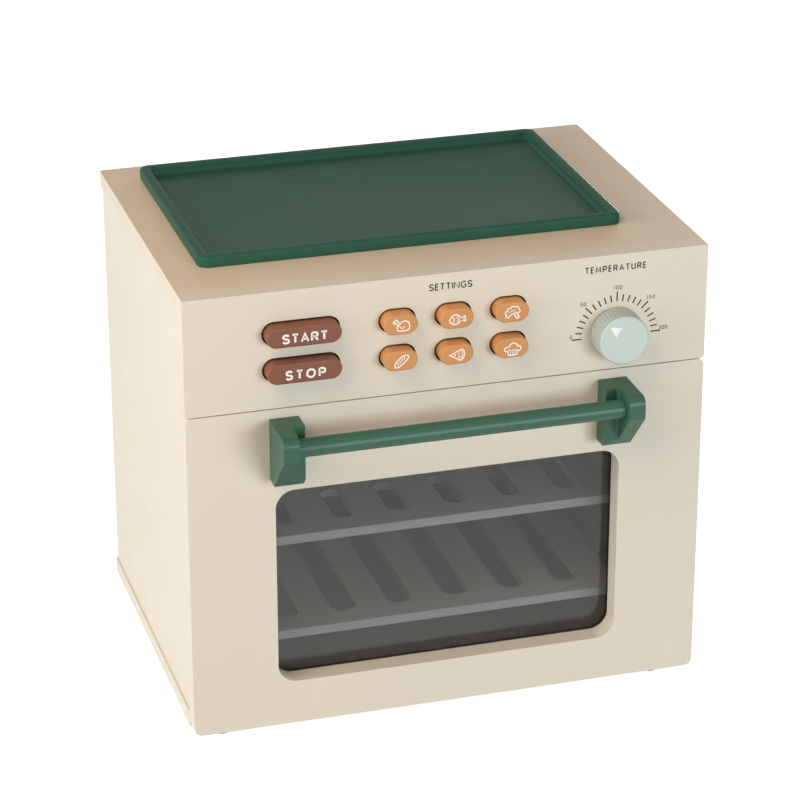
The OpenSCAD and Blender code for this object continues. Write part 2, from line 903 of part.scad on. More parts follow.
// ---- Hinges ----

module knuckle(x0, x1, z_low, z_high, y_low, y_high) {
    translate([x0, pin_y, pin_z]) rotate([0, 90, 0]) cylinder(r = knuckle_r, h = x1 - x0);
    block([x0, y_low, z_low], [x1, y_high, z_high]);
}

module pin_bore(x, gap) {
    translate([x - hinge_len, pin_y, pin_z]) rotate([0, 90, 0])
        cylinder(d = hinge_pin_d + 2 * gap, h = 2 * hinge_len);
}

// The leaf under the base, with a knuckle at each end
module hinge_base_leaf(side) {
    x = side * hinge_x;
    end = hinge_len / 2;
    mid = mid_knuckle / 2 + leaf_gap;
    leaf_y = y_carcass + base_leaf_d;
    color(steel) difference() {
        union() {
            block([x - end, y_door_back + knuckle_gap, z_base], [x + end, leaf_y, z_base + leaf_t]);
            knuckle(x - end, x - mid, z_base, z_base + leaf_t, pin_y, leaf_y);
            knuckle(x + mid, x + end, z_base, z_base + leaf_t, pin_y, leaf_y);
        }
        pin_bore(x, press_gap);
        at_base_leaf_screws(side) countersunk_hole(2.4, hinge_screw_len, 4);
    }
}

module left_hinge_base_leaf() {
    hinge_base_leaf(-1);
}

module right_hinge_base_leaf() {
    hinge_base_leaf(1);
}

// The leaf on the back of the door, with the middle knuckle
module hinge_door_leaf(side) {
    x = side * hinge_x;
    end = hinge_len / 2;
    mid = mid_knuckle / 2;
    z_end = pin_z + door_leaf_h;
    color(steel) difference() {
        union() {
            block([x - end, y_door_back - leaf_t, pin_z + knuckle_r + knuckle_gap],
                [x + end, y_door_back, z_end]);
            knuckle(x - mid, x + mid, pin_z, z_end, y_door_back - leaf_t, y_door_back);
        }
        pin_bore(x, run_gap);
        at_door_leaf_screws(side) countersunk_hole(2.4, hinge_screw_len, 4);
    }
}

module left_hinge_door_leaf() {
    hinge_door_leaf(-1);
}

module right_hinge_door_leaf() {
    hinge_door_leaf(1);
}

module hinge_pins() {
    color(steel)
        for (side = [-1, 1])
            translate([side * hinge_x - hinge_len / 2, pin_y, pin_z]) rotate([0, 90, 0])
                cylinder(d = hinge_pin_d, h = hinge_len);
}

module hinge_base_screws() {
    color(steel)
        for (side = [-1, 1])
            at_base_leaf_screws(side) countersunk_screw(2.4, hinge_screw_len, 4);
}

module hinge_door_screws() {
    color(steel)
        for (side = [-1, 1])
            at_door_leaf_screws(side) countersunk_screw(2.4, hinge_screw_len, 4);
}

// ---- Door ----

module window_outline(grow) {
    rounded_rect(window_w + 2 * grow, window_h + 2 * grow, window_r + grow);
}

// The door's face, with its own corner radius at the top and at the bottom
module door_outline() {
    translate([0, door_h / 2 - door_top_r])
        square([body_w - 2 * door_top_r, 2 * door_top_r], center = true);
    translate([-body_w / 2, -door_h / 2 + door_bottom_r])
        square([body_w, door_h - door_top_r - door_bottom_r]);
    translate([0, -door_h / 2 + door_bottom_r])
        square([body_w - 2 * door_bottom_r, 2 * door_bottom_r], center = true);
    for (x = [-1, 1]) {
        translate([x * (body_w / 2 - door_top_r), door_h / 2 - door_top_r]) circle(r = door_top_r);
        translate([x * (body_w / 2 - door_bottom_r), -door_h / 2 + door_bottom_r])
            circle(r = door_bottom_r);
    }
}

// Takes away what lies outside the rounded lower back edge, which turns round the hinge pins
module back_edge_round() {
    difference() {
        block([-body_w / 2 - cut, pin_y, z_base - cut],
            [body_w / 2 + cut, y_door_back + cut, pin_z]);
        translate([-body_w / 2 - 2 * cut, pin_y, pin_z]) rotate([0, 90, 0])
            cylinder(r = knuckle_r, h = body_w + 4 * cut);
    }
}

module at_handle_screws() {
    for (side = [-1, 1])
        for (z = handle_screw_zs)
            translate([side * handle_screw_x, y_door_back, z]) rotate([-90, 0, 0]) children();
}

module at_strike_screws() {
    for (x = [-1, 1])
        translate([x * strike_screw_x, y_door_back + strike_t, z_catch_mid])
            rotate([-90, 0, 0]) children();
}

module at_pane_screws() {
    x_out = window_w / 2 + pane_screw_out;
    z_out = window_h / 2 + pane_screw_out;
    places = [for (x = [-x_out, x_out]) for (z = [-window_h / 4, window_h / 4]) [x, z],
        for (z = [-z_out, z_out]) for (x = [-window_w / 3, 0, window_w / 3]) [x, z]];
    for (p = places)
        translate([p[0], y_door_back + gasket_t + pane_t, z_window_mid + p[1]])
            rotate([-90, 0, 0]) children();
}

module door_panel() {
    color(cream) difference() {
        on_front(0, z_base + door_h / 2, door_t) linear_extrude(door_t) door_outline();
        on_front(0, z_window_mid, front_t + cut) linear_extrude(front_t + 2 * cut)
            window_outline(0);
        back_edge_round();
        for (side = [-1, 1]) {
            x0 = side * hinge_x - hinge_len / 2 - leaf_gap;
            x1 = side * hinge_x + hinge_len / 2 + leaf_gap;
            // Notch for the knuckles and recess for the leaf
            block([x0, pin_y - knuckle_r - knuckle_gap, z_base - cut],
                [x1, y_door_back + cut, pin_z + knuckle_r + knuckle_gap]);
            block([x0, y_door_back - leaf_t, z_base - cut],
                [x1, y_door_back + cut, pin_z + door_leaf_h + leaf_gap]);
            at_door_leaf_screws(side) screw_hole(2.4, hinge_screw_len);
        }
        at_handle_screws() screw_hole(4, handle_screw_len);
        at_strike_screws() screw_hole(2.4, strike_t + 8);
        at_pane_screws() screw_hole(2.4, pane_screw_len);
    }
}

module window_gasket() {
    color(black_rubber) on_front(0, z_window_mid, door_t + gasket_t) linear_extrude(gasket_t)
        difference() {
            window_outline(gasket_w - gasket_show);
            window_outline(-gasket_show);
        }
}

module window_pane() {
    color(smoke) difference() {
        on_front(0, z_window_mid, door_t + gasket_t + pane_t) linear_extrude(pane_t)
            rounded_rect(window_w + 2 * pane_lap, window_h + 2 * pane_lap, 5);
        at_pane_screws() screw_hole(2.4, pane_screw_len);
    }
}

module pane_screws() {
    color(steel) at_pane_screws() pan_screw(2.4, pane_screw_len, 4.6, 1.6);
}

module strike_plate() {
    color(steel) difference() {
        on_front(0, z_catch_mid, door_t + strike_t) linear_extrude(strike_t)
            rounded_rect(strike_w, strike_h, 2);
        at_strike_screws() countersunk_hole(2.4, strike_t + 8, 4);
    }
}

module strike_screws() {
    color(steel) at_strike_screws() countersunk_screw(2.4, strike_t + 7, 4);
}

// ---- Handle ----

// The bracket's side view: X is how far it stands out from the door, Y is its height
module bracket_profile() {
    top_r = bracket_nose_r;
    polygon(concat([[0, 0], [0, -bracket_h], [bracket_toe, -bracket_h],
            [handle_reach, -bracket_front_h]],
        [for (a = [0:10:90]) [handle_reach - top_r + top_r * cos(a), -top_r + top_r * sin(a)]]));
}

// The bracket's plan: a thick foot against the door and an arm at its outer end. X points
// outwards along the bar, Y out of the door.
module bracket_plan() {
    reach = handle_reach + cut;
    difference() {
        union() {
            square([bracket_w, bracket_foot_t]);
            translate([bracket_w - arm_w, 0]) square([arm_w, reach]);
            translate([bracket_w - arm_w - bracket_fillet_r, bracket_foot_t])
                square(bracket_fillet_r);
        }
        translate([bracket_w - arm_w - bracket_fillet_r, bracket_foot_t + bracket_fillet_r])
            circle(r = bracket_fillet_r);
    }
}

// The right-hand bracket
module handle_bracket() {
    x_in = bracket_out_x - bracket_w;
    color(green) difference() {
        intersection() {
            translate([x_in, y_front, z_bracket]) rotate([90, 0, 90]) mirror([1, 0, 0])
                linear_extrude(bracket_w) bracket_profile();
            translate([x_in, y_front, z_bracket - bracket_h - cut]) mirror([0, 1, 0])
                linear_extrude(bracket_h + 2 * cut) bracket_plan();
        }
        bar_bore(seat_gap);
        at_handle_screws() screw_hole(4, handle_screw_len);
    }
}

module bar_bore(gap) {
    half = arm_in_x + bar_socket + (gap > 0 ? 0.3 : 0);
    on_front(0, z_bar, -bar_out) rotate([0, 90, 0])
        translate([0, 0, -half]) cylinder(r = bar_d / 2 + gap, h = 2 * half);
}

module left_handle_bracket() {
    mirror([1, 0, 0]) handle_bracket();
}

module right_handle_bracket() {
    handle_bracket();
}

module handle_bar() {
    color(green) bar_bore(0);
}

module handle_screws() {
    color(steel) at_handle_screws() pan_screw(4, handle_screw_len, 7.5, 2.4);
}

// ---- Baking tray ----

// The tray's outline at height z, drawn in by inset, with corner radius r, anticlockwise
function tray_ring(inset, z, r) = [for (corner = [[1, 1], [-1, 1], [-1, -1], [1, -1]])
    for (k = [0:tray_corner_steps])
        let (a = 90 * k / tray_corner_steps, x = corner[0] * (tray_w / 2 - inset - r),
            y = corner[1] * (tray_d / 2 - inset - r), turn = corner[1] > 0
                ? (corner[0] > 0 ? 0 : 90) : (corner[0] < 0 ? 180 : 270))
        [x + r * cos(turn + a), y + r * sin(turn + a), z]];

// A shallow pan. Its section goes up the outside, over a rim with rounded edges, down the inner
// wall and through a cove to the floor, and is carried round the outline.
module baking_tray() {
    cove_h = (tray_h - tray_edge_r - tray_floor_t) * 0.9;
    rings = concat(
        [tray_ring(tray_foot_ease, 0, tray_r - tray_foot_ease), tray_ring(0, tray_foot_ease, tray_r)],
        [for (a = [0:22.5:90])
            let (spread = tray_edge_r * (1 - cos(a)))
            tray_ring(spread, tray_h - tray_edge_r * (1 - sin(a)), tray_r - spread)],
        [for (a = [90:-22.5:0])
            let (spread = tray_edge_r * (1 - cos(a)))
            tray_ring(tray_rim - spread, tray_h - tray_edge_r * (1 - sin(a)), tray_inner_r + spread)],
        [for (a = [90:-18:0])
            tray_ring(tray_rim + tray_cove * (1 - sin(a)), tray_floor_t + cove_h * (1 - cos(a)),
                tray_inner_r)]);
    count = len(rings[0]);
    last = (len(rings) - 1) * count;
    walls = [for (i = [0:len(rings) - 2])
        for (k = [0:count - 1])
            for (half = [0, 1])
                let (a = i * count + k, b = i * count + (k + 1) % count)
                half == 0 ? [a, a + count, b + count] : [a, b + count, b]];
    color(green) translate([-tray_shift, y_front + tray_setback + tray_d / 2, z_top])
        polyhedron([for (ring = rings) each ring],
            concat([[for (k = [0:count - 1]) k]], [[for (k = [count - 1:-1:0]) last + k]], walls));
}

base_panel();
left_side_panel();
right_side_panel();
top_panel();
back_panel();
control_panel();
cavity_ceiling();
upper_shelf();
lower_shelf();
carcass_dowels();
base_screws();
back_panel_screws();
rubber_feet();
foot_screws();
button_housing();
housing_screws();
knob_bush();
magnet_catch_body();
catch_magnet();
catch_pole_plates();
catch_screws();
left_hinge_base_leaf();
right_hinge_base_leaf();
hinge_pins();
hinge_base_screws();
start_springs();
stop_springs();
chicken_spring();
fish_spring();
broccoli_spring();
bread_spring();
pizza_spring();
cupcake_spring();
door_panel();
window_pane();
window_gasket();
pane_screws();
handle_bar();
left_handle_bracket();
right_handle_bracket();
handle_screws();
strike_plate();
strike_screws();
left_hinge_door_leaf();
right_hinge_door_leaf();
hinge_door_screws();
start_button();
stop_button();
chicken_button();
fish_button();
broccoli_button();
bread_button();
pizza_button();
cupcake_button();
temperature_knob();
knob_spindle();
spindle_washer();
spindle_screw();
baking_tray();
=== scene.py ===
"""The toy oven's visual model: paint, print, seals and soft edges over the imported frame.

Metres, in the frame's own axes: X to the right, Y to the back, Z up.
"""

import json

import bpy
import numpy as np
from mathutils import Matrix, Vector


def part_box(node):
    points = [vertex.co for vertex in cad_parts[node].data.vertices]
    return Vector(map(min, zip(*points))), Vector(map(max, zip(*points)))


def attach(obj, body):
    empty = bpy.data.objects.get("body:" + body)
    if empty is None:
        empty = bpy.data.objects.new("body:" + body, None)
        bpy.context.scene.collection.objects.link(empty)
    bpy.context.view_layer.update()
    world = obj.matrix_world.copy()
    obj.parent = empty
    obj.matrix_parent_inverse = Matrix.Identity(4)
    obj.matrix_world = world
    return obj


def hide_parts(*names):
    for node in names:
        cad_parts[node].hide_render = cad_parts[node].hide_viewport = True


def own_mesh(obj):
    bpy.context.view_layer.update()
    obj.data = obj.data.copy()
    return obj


MM = 0.001

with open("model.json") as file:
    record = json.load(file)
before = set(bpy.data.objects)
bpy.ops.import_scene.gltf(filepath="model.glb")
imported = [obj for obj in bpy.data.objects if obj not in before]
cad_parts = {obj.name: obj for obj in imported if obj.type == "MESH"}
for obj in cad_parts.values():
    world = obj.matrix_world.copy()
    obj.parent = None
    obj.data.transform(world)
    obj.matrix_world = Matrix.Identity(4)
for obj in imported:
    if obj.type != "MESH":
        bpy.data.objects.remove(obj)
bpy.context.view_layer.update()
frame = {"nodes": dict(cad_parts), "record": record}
nodes = frame["nodes"]


# ---- Placing things on the frame ----

def in_scene(name, data):
    """An object with this data, at the origin of the scene."""
    thing = bpy.data.objects.new(name, data)
    bpy.context.scene.collection.objects.link(thing)
    return thing


def low_high(node):
    """The two corners of a node's box as arrays, in millimetres."""
    low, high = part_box(node)
    return np.array(low) / MM, np.array(high) / MM


def middle(node):
    """The middle of a node's box, in millimetres."""
    low, high = low_high(node)
    return (low + high) / 2


# ---- Shapes ----

def fan_of_arc(radius, start, steps):
    """Points of a quarter circle: radius times the cosine and sine of angles from start on."""
    angle = np.radians(start + np.linspace(0, 90, steps))
    return np.stack([radius * np.cos(angle), radius * np.sin(angle)], axis=1)


def rounded_outline(width, height, radius, steps=9):
    """A rectangle's outline with a quarter circle about each corner's centre, anticlockwise."""
    smallest_radius = 0.01
    radius = max(radius, smallest_radius)
    corners = np.array([[1, 1], [-1, 1], [-1, -1], [1, -1]])
    centres = corners * [width / 2 - radius, height / 2 - radius]
    return np.concatenate([centre + fan_of_arc(radius, 90 * i, steps)
                           for i, centre in enumerate(centres)])


def mesh_piece(name, points, faces, body, material, smooth=30.0):
    """A mesh object on a body. Points are in millimetres; edges under smooth degrees are soft."""
    mesh = bpy.data.meshes.new(name)
    mesh.from_pydata((np.asarray(points, dtype=float) * MM).tolist(), [],
                     [tuple(int(i) for i in face) for face in faces])
    mesh.validate()
    mesh.materials.append(material)
    mesh.shade_smooth()
    mesh.set_sharp_from_angle(angle=np.radians(smooth))
    piece = in_scene(name, mesh)
    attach(piece, body)
    return piece


def wound_skin(rings):
    """Quads between neighbouring rings of the same count, closed round each ring."""
    count, around = rings.shape[:2]
    index = np.arange(count * around).reshape(count, around)
    here, along = index[:-1], index[1:]
    quads = np.stack([here, np.roll(here, -1, axis=1), np.roll(along, -1, axis=1), along], axis=-1)
    return rings.reshape(-1, 3), quads.reshape(-1, 4)


def turned_section(width, height, section, steps=9):
    """A closed solid: a section carried round a rounded rectangle.

    Each section point is (inset, level, radius): the outline drawn in by the inset, at that
    level, with that corner radius. The first ring and the last are closed with one flat face.
    """
    around = 4 * steps
    rings = np.array([np.column_stack([rounded_outline(width - 2 * inset, height - 2 * inset,
                                                       radius, steps),
                                       np.full(around, level)])
                      for inset, level, radius in section])
    points, quads = wound_skin(rings)
    last = len(points) - around
    faces = [list(q) for q in quads]
    faces.append(list(range(around - 1, -1, -1)))
    faces.append([last + i for i in range(around)])
    return points, faces


def unit(vectors):
    """Each row over its own length."""
    return vectors / np.maximum(np.linalg.norm(vectors, axis=1, keepdims=True), 1e-9)


def turned_left(vectors):
    """Each flat row turned a quarter turn: (x, y) becomes (-y, x)."""
    return np.stack([-vectors[:, 1], vectors[:, 0]], axis=1)


def flat_stroke(path, width, closed):
    """A band of constant width along a path: each point moved both ways along its normal.

    At a corner the move is longer, by one over the cosine of half the turn, up to a limit.
    """
    sharpest = 0.6
    path = np.asarray(path, dtype=float)
    if closed:
        before, after = np.roll(path, 1, axis=0), np.roll(path, -1, axis=0)
    else:
        before = np.concatenate([path[:1], path[:-1]])
        after = np.concatenate([path[1:], path[-1:]])
    along_in = path - before
    along_out = after - path
    if not closed:
        along_in[0], along_out[-1] = along_out[0], along_in[-1]
    normal = turned_left(unit(unit(along_in) + unit(along_out)))
    cosine = (normal * turned_left(unit(along_out))).sum(axis=1, keepdims=True)
    stretch = 1 / np.maximum(cosine, sharpest)
    return path + normal * stretch * width / 2, path - normal * stretch * width / 2


def stroke_solid(path, width, low, high, closed):
    """A stroke as a thin solid: a rectangle carried along the path between two levels."""
    left, right = flat_stroke(path, width, closed)
    n = len(left)
    rings = np.stack([np.column_stack([side, np.full(n, level)])
                      for side, level in ((left, low), (right, low), (right, high), (left, high))],
                     axis=1)
    index = np.arange(n * 4).reshape(n, 4)
    here = index if closed else index[:-1]
    along = np.roll(index, -1, axis=0) if closed else index[1:]
    quads = np.stack([here, along, np.roll(along, -1, axis=1), np.roll(here, -1, axis=1)],
                     axis=-1).reshape(-1, 4).tolist()
    if not closed:
        quads += [index[0].tolist(), index[-1, ::-1].tolist()]
    return rings.reshape(-1, 3), quads


def smooth_path(points, closed, steps=6):
    """A Catmull-Rom curve: between two points, the cubic that also meets their neighbours."""
    p = np.asarray(points, dtype=float)
    if closed:
        four = [np.roll(p, step, axis=0) for step in (1, 0, -1, -2)]
    else:
        ends = np.concatenate([[2 * p[0] - p[1]], p, [2 * p[-1] - p[-2]]])
        four = [ends[:-3], ends[1:-2], ends[2:-1], ends[3:]]
    t = (np.arange(steps) / steps)[None, :, None]
    a, b, c, d = (q[:, None, :] for q in four)
    curve = 0.5 * (2 * b + (c - a) * t + (2 * a - 5 * b + 4 * c - d) * t ** 2
                   + (3 * b - a - 3 * c + d) * t ** 3)
    curve = curve.reshape(-1, 2)
    return curve if closed else np.concatenate([curve, p[-1:]])


def on_front(points, x, y, z):
    """Drawn points (right, up, out) set on a front at y: out runs towards the user."""
    points = np.asarray(points, dtype=float)
    return np.column_stack([x + points[:, 0], y - points[:, 2], z + points[:, 1]])


# ---- Materials ----

# A Mix node's two colour sockets and its colour result, which share their names with others
COLOUR_A, COLOUR_B, COLOUR_OUT = 6, 7, 2


def srgb(r, g, b):
    """A colour written as 0 to 255 screen values, as linear light."""
    c = np.array([r, g, b]) / 255
    return tuple(np.where(c <= 0.04045, c / 12.92, ((c + 0.055) / 1.055) ** 2.4)) + (1.0,)


CREAM = srgb(221, 212, 194)
WHITE = (1, 1, 1, 1)


def new_group(name, inputs, outputs):
    """A shader node group with these sockets, and its input and output nodes."""
    group = bpy.data.node_groups.new(name, "ShaderNodeTree")
    for label, kind, value in inputs:
        socket = group.interface.new_socket(label, in_out="INPUT", socket_type=kind)
        socket.default_value = value
    for label, kind in outputs:
        group.interface.new_socket(label, in_out="OUTPUT", socket_type=kind)
    return group, group.nodes.new("NodeGroupInput"), group.nodes.new("NodeGroupOutput")


def add(tree, kind, **settings):
    """A new node with these settings."""
    node = tree.nodes.new(kind)
    for key, value in settings.items():
        setattr(node, key, value)
    return node


def feed(tree, value, socket):
    """Links a socket from another one, or sets it to a plain value."""
    if isinstance(value, bpy.types.NodeSocket):
        tree.links.new(value, socket)
    else:
        socket.default_value = value


def node_of(tree, kind):
    """The tree's node of this type."""
    return next(n for n in tree.nodes if n.type == kind)


def object_place(tree):
    """Object coordinates: the same in metres as the frame's own axes."""
    return add(tree, "ShaderNodeTexCoord").outputs["Object"]


def split_place(tree):
    """Object coordinates as three sockets, X, Y and Z."""
    split = add(tree, "ShaderNodeSeparateXYZ")
    tree.links.new(object_place(tree), split.inputs[0])
    return split.outputs


def calc(tree, operation, first, second):
    """One step of arithmetic between two values, each a socket or a number."""
    step = add(tree, "ShaderNodeMath", operation=operation)
    feed(tree, first, step.inputs[0])
    feed(tree, second, step.inputs[1])
    return step.outputs[0]


def two_colours(tree, factor, first, second):
    """The first colour where the factor is 0, the second where it is 1."""
    mix = add(tree, "ShaderNodeMix", data_type="RGBA")
    tree.links.new(factor, mix.inputs["Factor"])
    feed(tree, first, mix.inputs[COLOUR_A])
    feed(tree, second, mix.inputs[COLOUR_B])
    return mix.outputs[COLOUR_OUT]


def two_shaders(tree, factor, first, second):
    """The first shader where the factor is 0, the second where it is 1."""
    mix = add(tree, "ShaderNodeMixShader")
    tree.links.new(factor, mix.inputs["Fac"])
    tree.links.new(first, mix.inputs[1])
    tree.links.new(second, mix.inputs[2])
    return mix.outputs["Shader"]


def scaled_noise(tree, place, scale, detail=2.0, roughness=0.5):
    noise = add(tree, "ShaderNodeTexNoise")
    noise.inputs["Scale"].default_value = scale
    noise.inputs["Detail"].default_value = detail
    noise.inputs["Roughness"].default_value = roughness
    tree.links.new(place, noise.inputs["Vector"])
    return noise.outputs["Fac"]


def spread(tree, value, low, high, source_low=0.3, source_high=0.7):
    """Maps a range of the value to low and high; the range is a noise's usual one if not given."""
    node = add(tree, "ShaderNodeMapRange")
    tree.links.new(value, node.inputs["Value"])
    node.inputs["From Min"].default_value = source_low
    node.inputs["From Max"].default_value = source_high
    feed(tree, low, node.inputs["To Min"])
    feed(tree, high, node.inputs["To Max"])
    return node.outputs["Result"]


def bumped(tree, height, distance, strength):
    """A normal from a height: its depth in metres, and how much of it counts."""
    bump = add(tree, "ShaderNodeBump")
    bump.inputs["Strength"].default_value = strength
    feed(tree, distance, bump.inputs["Distance"])
    tree.links.new(height, bump.inputs["Height"])
    return bump.outputs["Normal"]


def sprayed_coat_group():
    """Spray paint: broad soft mottling of the colour, and the fine dimples of a sprayed film."""
    group, into, out = new_group(
        "sprayed_coat",
        [("Colour", "NodeSocketColor", (0.8, 0.8, 0.8, 1)), ("Mottle", "NodeSocketFloat", 0.03),
         ("Roughness", "NodeSocketFloat", 0.4), ("Dimple depth", "NodeSocketFloat", 0.00002)],
        [("Colour", "NodeSocketColor"), ("Roughness", "NodeSocketFloat"),
         ("Normal", "NodeSocketVector")])
    broad_scale, streak_scale, dimple_scale = 9.0, 40.0, 750.0
    place = object_place(group)
    mottle = into.outputs["Mottle"]
    value = spread(group, scaled_noise(group, place, broad_scale, 3.0),
                   calc(group, "SUBTRACT", 1.0, mottle), calc(group, "ADD", 1.0, mottle))
    hsv = add(group, "ShaderNodeHueSaturation")
    group.links.new(into.outputs["Colour"], hsv.inputs["Color"])
    group.links.new(value, hsv.inputs["Value"])
    uneven = spread(group, scaled_noise(group, place, streak_scale, 4.0), 0.9, 1.12)
    rough = calc(group, "MULTIPLY", into.outputs["Roughness"], uneven)
    normal = bumped(group, scaled_noise(group, place, dimple_scale),
                    into.outputs["Dimple depth"], 0.6)
    group.links.new(hsv.outputs["Color"], out.inputs["Colour"])
    group.links.new(rough, out.inputs["Roughness"])
    group.links.new(normal, out.inputs["Normal"])
    return group


def plain_material(name):
    """The named material with only an output and a Principled shader in it."""
    material = bpy.data.materials.get(name) or bpy.data.materials.new(name)
    material.use_nodes = True
    tree = material.node_tree
    tree.nodes.clear()
    shader = add(tree, "ShaderNodeBsdfPrincipled")
    end = add(tree, "ShaderNodeOutputMaterial")
    tree.links.new(shader.outputs["BSDF"], end.inputs["Surface"])
    return material, tree, shader


def coated(name, colour, mottle, roughness, dimples, specular=0.25):
    """A painted or moulded finish from the shared sprayed coat."""
    material, tree, shader = plain_material(name)
    film = add(tree, "ShaderNodeGroup", node_tree=sprayed_coat)
    for label, value in (("Colour", colour), ("Mottle", mottle), ("Roughness", roughness),
                         ("Dimple depth", dimples)):
        film.inputs[label].default_value = value
    for label, socket in (("Colour", "Base Color"), ("Roughness", "Roughness"),
                          ("Normal", "Normal")):
        tree.links.new(film.outputs[label], shader.inputs[socket])
    shader.inputs["Specular IOR Level"].default_value = specular
    return material


sprayed_coat = sprayed_coat_group()

shelf_paint = coated("cream_shelf_paint", CREAM, 0.012, 0.5, 0.00001)
# The top board's cream is darker and warmer than the rest: painted shade for the smaller share of
# light that falls on the top
top_shaded_paint = coated("cream_top_paint", srgb(221, 206, 184), 0.012, 0.46, 0.00003)
tray_paint = coated("green_tray_paint", srgb(50, 90, 73), 0.03, 0.26, 0.00001, 0.02)
handle_paint = coated("green_handle_paint", srgb(53, 93, 76), 0.03, 0.36, 0.00002, 0.3)
brown_paint = coated("brown_paint", srgb(128, 80, 62), 0.03, 0.42, 0.00002)
tan_paint = coated("tan_paint", srgb(204, 144, 88), 0.03, 0.42, 0.00002)
white_plastic = coated("white_plastic", srgb(222, 221, 214), 0.01, 0.4, 0.00001, 0.5)
gasket_rubber = coated("gasket_rubber", srgb(24, 24, 24), 0.05, 0.6, 0.00002)
foot_rubber = coated("foot_rubber", srgb(36, 36, 36), 0.05, 0.75, 0.00003)
ferrite = coated("ferrite", srgb(52, 52, 55), 0.08, 0.7, 0.00004)
print_white = coated("print_white", srgb(245, 242, 236), 0.01, 0.5, 0.00001)
print_brown = coated("print_brown", srgb(52, 46, 41), 0.02, 0.5, 0.00001)
dial_ink = coated("dial_ink", srgb(84, 75, 66), 0.02, 0.5, 0.00001)


def between(tree, value, low, high, soft):
    """1 where the value lies between low and high, with soft edges outside them, else 0."""
    return calc(tree, "MULTIPLY", spread(tree, value, 0.0, 1.0, low - soft, low),
                spread(tree, value, 1.0, 0.0, high, high + soft))


def repaint(material, mask, colour):
    """Gives a coated material another colour where the mask is 1."""
    tree = material.node_tree
    base = node_of(tree, "BSDF_PRINCIPLED").inputs["Base Color"]
    tree.links.new(two_colours(tree, mask, base.links[0].from_socket, colour), base)
    return material


def cream_paint_with_hole_shade():
    """The sprayed cream coat. Inside the routed button holes it gives way to near black: the
    board's raw core, darkened as painted shade for the deep holes. A box in space, behind the
    panel's face and inside its edges, picks them out."""
    cream = coated("cream_paint", CREAM, 0.012, 0.46, 0.00003)
    tree = cream.node_tree
    low, high = (corner * MM for corner in low_high("control_panel"))
    edge, behind_face, before_back, soft = 0.006, 0.00025, 0.0002, 0.0001
    across, deep, up = (
        between(tree, value, near, far, soft)
        for value, near, far in zip(split_place(tree), low + [edge, behind_face, edge],
                                    high - [edge, before_back, edge]))
    raw_core_and_shade = calc(tree, "MULTIPLY", calc(tree, "MULTIPLY", across, deep), up)
    # The near-black colour is the raw core plus painted shade inside the holes
    return repaint(cream, raw_core_and_shade, srgb(20, 16, 13))


def back_board_with_inner_shade():
    """The back panel's finish: cream outside, and dark grey-brown on the face inside the oven as
    painted shade for the dim inside of the closed oven.
    """
    board = coated("back_board_paint", CREAM, 0.012, 0.5, 0.00003)
    tree = board.node_tree
    inner = low_high("back_panel")[0][1] * MM
    face = between(tree, split_place(tree)["Y"], inner - 0.001, inner + 0.001, 0.0002)
    # The dark grey-brown on the inner face is painted shade
    return repaint(board, face, srgb(38, 35, 33))


def knob_paint_with_side_shade():
    """The knob's pale green. Its grooved side is painted darker than its smooth face, as painted
    shade for the shade in its grooves: the side is what lies further than the face's edge from the
    axis."""
    knob = coated("pale_green_paint", srgb(196, 209, 201), 0.015, 0.42, 0.00002)
    tree = knob.node_tree
    axis = middle("temperature_knob") * MM
    face_edge, side_start = 0.0157, 0.0161
    flat = add(tree, "ShaderNodeVectorMath", operation="MULTIPLY")
    tree.links.new(object_place(tree), flat.inputs[0])
    flat.inputs[1].default_value = (1.0, 0.0, 1.0)
    away = add(tree, "ShaderNodeVectorMath", operation="DISTANCE")
    tree.links.new(flat.outputs[0], away.inputs[0])
    away.inputs[1].default_value = (axis[0], 0.0, axis[2])
    side = spread(tree, away.outputs["Value"], 0.0, 1.0, face_edge, side_start)
    # The darker green on the side is painted shade
    return repaint(knob, side, srgb(174, 187, 181))


knob_paint = knob_paint_with_side_shade()
back_board = back_board_with_inner_shade()
cream_paint = cream_paint_with_hole_shade()


def drawn_out(tree, share):
    """Object coordinates with X brought down to a share, so that a noise is drawn out along X."""
    stretch = add(tree, "ShaderNodeMapping")
    stretch.inputs["Scale"].default_value = (share, 1.0, 1.0)
    tree.links.new(object_place(tree), stretch.inputs["Vector"])
    return stretch.outputs["Vector"]


def drawn_metal(name, colour, roughness):
    """Metal with fine drawn lines: a noise stretched along X, as roughness and a shallow bump."""
    material, tree, shader = plain_material(name)
    lines = scaled_noise(tree, drawn_out(tree, 0.08), 2200.0, 3.0)
    tree.links.new(spread(tree, lines, roughness * 0.8, roughness * 1.3),
                   shader.inputs["Roughness"])
    tree.links.new(bumped(tree, lines, 0.00001, 0.25), shader.inputs["Normal"])
    dulled = tuple(0.88 * c for c in colour[:3]) + (1.0,)
    tint = two_colours(tree, scaled_noise(tree, object_place(tree), 60.0, 3.0), colour, dulled)
    tree.links.new(tint, shader.inputs["Base Color"])
    shader.inputs["Metallic"].default_value = 1.0
    return material


zinc = drawn_metal("zinc_screw", srgb(205, 206, 208), 0.32)
hinge_steel = drawn_metal("hinge_steel", srgb(196, 197, 199), 0.26)
spring_steel = drawn_metal("spring_steel", srgb(176, 177, 180), 0.3)


def bare_dowel_wood():
    """Beech: long streaks along X, from a noise stretched that way, in two tan colours."""
    material, tree, shader = plain_material("bare_wood")
    streaks = scaled_noise(tree, drawn_out(tree, 0.15), 420.0, 5.0, 0.6)
    tree.links.new(two_colours(tree, streaks, srgb(196, 156, 108), srgb(222, 190, 146)),
                   shader.inputs["Base Color"])
    tree.links.new(spread(tree, streaks, 0.55, 0.75), shader.inputs["Roughness"])
    return material


bare_wood = bare_dowel_wood()


def show(tree, shader_socket):
    """Sends a shader to the material's output in place of the one that went there."""
    tree.links.new(shader_socket, node_of(tree, "OUTPUT_MATERIAL").inputs["Surface"])


